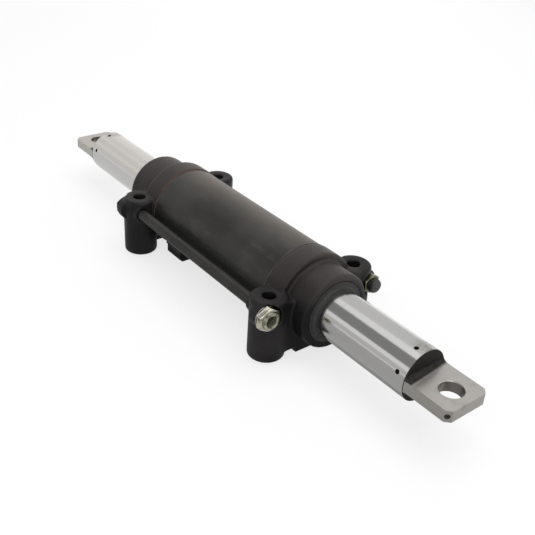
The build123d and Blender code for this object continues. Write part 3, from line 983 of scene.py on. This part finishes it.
sealant = {
    "sides": [
        # name, side, pale tone, dark tone
        ("leftSealant", -1, shade(0.08, 0.045, 0.036), shade(0.045, 0.024, 0.018)),
        ("rightSealant", 1, shade(0.06, 0.05, 0.04), shade(0.03, 0.026, 0.022)),
    ],
    "thickness": 0.55,
    "sunk": 0.25,
    "proud": 0.05,
    "lumpSize": 4,
    "lumpHeight": 0.5,
}


def makeSealant(name, side, pale, dark, s):
    finish = makeSoftFinish(name, pale, dark, 0.5, 700)
    station = side * (cylinder["collarStart"] - s["sunk"])
    radius = cylinder["barrelRadius"] + s["proud"]
    height = cylinder["axisHeight"]
    bead = ringAboutX(name, station, 0, height, radius, s["thickness"], 180, 10)
    # an uneven bead: pushed out a little here and there
    wave = bpy.data.textures.new(name, "CLOUDS")
    wave.noise_scale = s["lumpSize"] * mm
    applyModifier(
        bead,
        "DISPLACE",
        texture=wave,
        strength=s["lumpHeight"] * mm,
        texture_coords="LOCAL",
    )
    wear(bead, finish)
    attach(bead, "cylinder")


for name, side, pale, dark in sealant["sides"]:
    makeSealant(name, side, pale, dark, sealant)
print("joints sealed")


# ---- floor, lights and what the metal reflects

studio = {
    "floorSize": 30,
    "floorDrop": 0.6,
    "floorColour": shade(0.86, 0.86, 0.86),
    "floorRoughness": 0.9,
    "floorGlow": 0.72,
    "skyColour": shade(1, 1, 1),
    "skyLight": 0.62,
    "lamps": [
        # name, place, size, watts
        ("overhead", (0.1, 0.25, 1.6), 1.3, 13),
        ("front", (0.9, -1.3, 1.1), 1.2, 9),
        ("back", (-1.2, 1.1, 0.9), 1.2, 6),
    ],
    "lampsFace": (0, 0, 0.04),
}


def backgroundRays(tree):
    # 1 for rays that see the background straight, in a reflection or through glass
    path = tree.nodes.new("ShaderNodeLightPath")
    total = path.outputs["Is Camera Ray"]
    for name in ("Is Glossy Ray", "Is Transmission Ray"):
        either = tree.nodes.new("ShaderNodeMath")
        either.operation = "MAXIMUM"
        tree.links.new(total, either.inputs[0])
        tree.links.new(path.outputs[name], either.inputs[1])
        total = either.outputs[0]
    return total


def makeFloor(s):
    deselectAll()
    place = (0, 0, -s["floorDrop"] * mm)
    bpy.ops.mesh.primitive_plane_add(size=s["floorSize"], location=place)
    floor = bpy.context.object
    floor.name = "floor"
    material = bpy.data.materials.new("paleFloor")
    material.use_nodes = True
    tree = material.node_tree
    base = tree.nodes["Principled BSDF"]
    base.inputs["Base Color"].default_value = s["floorColour"]
    base.inputs["Roughness"].default_value = s["floorRoughness"]
    base.inputs["Specular IOR Level"].default_value = 0
    glow = tree.nodes.new("ShaderNodeEmission")
    share = tree.nodes.new("ShaderNodeMath")
    share.operation = "MULTIPLY"
    share.inputs[1].default_value = s["floorGlow"]
    tree.links.new(backgroundRays(tree), share.inputs[0])
    blend = tree.nodes.new("ShaderNodeMixShader")
    tree.links.new(share.outputs[0], blend.inputs[0])
    tree.links.new(base.outputs[0], blend.inputs[1])
    tree.links.new(glow.outputs[0], blend.inputs[2])
    tree.links.new(blend.outputs[0], tree.nodes["Material Output"].inputs["Surface"])
    floor.data.materials.append(material)


def makeSky(s):
    world = bpy.data.worlds.new("studio")
    bpy.context.scene.world = world
    world.use_nodes = True
    tree = world.node_tree
    sky = tree.nodes["Background"]
    sky.inputs["Color"].default_value = s["skyColour"]
    strength = tree.nodes.new("ShaderNodeMapRange")
    tree.links.new(backgroundRays(tree), strength.inputs["Value"])
    strength.inputs["To Min"].default_value = s["skyLight"]
    strength.inputs["To Max"].default_value = 1
    tree.links.new(strength.outputs[0], sky.inputs["Strength"])


def makeLamps(s):
    for name, place, size, watts in s["lamps"]:
        data = bpy.data.lights.new(name, "AREA")
        data.size = size
        data.energy = watts
        lamp = bpy.data.objects.new(name, data)
        bpy.context.scene.collection.objects.link(lamp)
        lamp.location = place
        towards = Vector(s["lampsFace"]) - Vector(place)
        lamp.rotation_mode = "QUATERNION"
        lamp.rotation_quaternion = towards.to_track_quat("-Z", "Y")


makeFloor(studio)
makeSky(studio)
makeLamps(studio)
print("studio lit")


# ---- pale and dark cards beside and under the rod, seen only in gloss

cards = {
    "distance": 0.75,
    "leftEnd": -2.2,
    "middle": -0.78,
    "rightEnd": 0.6,
    "warmth": 0.985,
    "leftWarmth": 0.93,
    # name, from and to in degrees about the rod from +Y towards +Z, brightness
    "strips": [
        ("farCard", 4, 80, 0.68),
        ("topCard", 80, 103, 0.93),
        ("roofCard", 103, 145, 0.27),
        ("brightCard", 145, 161, 0.9),
        ("nearCard", 161, 179, 0.58),
    ],
    "leftStrips": [
        ("leftFarCard", -30, 60, 0.95),
        ("leftTopCard", 60, 90, 0.88),
        ("leftRoofCard", 90, 104, 0.96),
        ("leftMiddleCard", 104, 130, 0.83),
        ("leftBrightCard", 130, 150, 0.9),
        ("leftNearCard", 150, 179, 0.78),
    ],
    "floorLevel": -0.0003,
    # name, from and to along X, from and to along Y, brightness
    "floorStrips": [
        ("floorCardNear", -0.16, 0.75, -1.4, -0.028, 0.46),
        ("floorCardUnder", -0.16, 0.75, -0.028, 0.02, 0.32),
        ("floorCardFar", -0.16, 0.75, 0.02, 0.12, 0.6),
        ("floorCardLeft", -1.2, -0.16, -1.4, 0.02, 0.72),
    ],
}


def glossCard(name, brightness, warmth, place, turn, length, width):
    deselectAll()
    bpy.ops.mesh.primitive_plane_add(size=1, location=place, rotation=turn)
    card = bpy.context.object
    card.name = name
    card.scale = (length, width, 1)
    bakePlace(card)
    material = bpy.data.materials.new(name)
    material.use_nodes = True
    tree = material.node_tree
    glow = tree.nodes.new("ShaderNodeEmission")
    glow.inputs["Color"].default_value = shade(
        brightness, brightness * (1 + warmth) / 2, brightness * warmth
    )
    tree.links.new(glow.outputs[0], tree.nodes["Material Output"].inputs["Surface"])
    card.data.materials.append(material)
    card.visible_camera = False
    card.visible_diffuse = False
    card.visible_shadow = False
    card.visible_transmission = False


def makeCards(c):
    runs = (
        (c["strips"], c["middle"], c["rightEnd"], c["warmth"]),
        (c["leftStrips"], c["leftEnd"], c["middle"], c["leftWarmth"]),
    )
    for strips, x0, x1, warmth in runs:
        for name, start, end, brightness in strips:
            middle = math.radians((start + end) / 2)
            width = 2 * c["distance"] * math.tan(math.radians(end - start) / 2)
            place = (
                (x0 + x1) / 2,
                c["distance"] * math.cos(middle),
                c["distance"] * math.sin(middle) + cylinder["axisHeight"] * mm,
            )
            turn = (middle - math.pi / 2, 0, 0)
            glossCard(name, brightness, warmth, place, turn, x1 - x0, width)
    for name, x0, x1, y0, y1, brightness in c["floorStrips"]:
        place = ((x0 + x1) / 2, (y0 + y1) / 2, c["floorLevel"])
        glossCard(name, brightness, c["warmth"], place, (0, 0, 0), x1 - x0, y1 - y0)


makeCards(cards)
print("cards set")
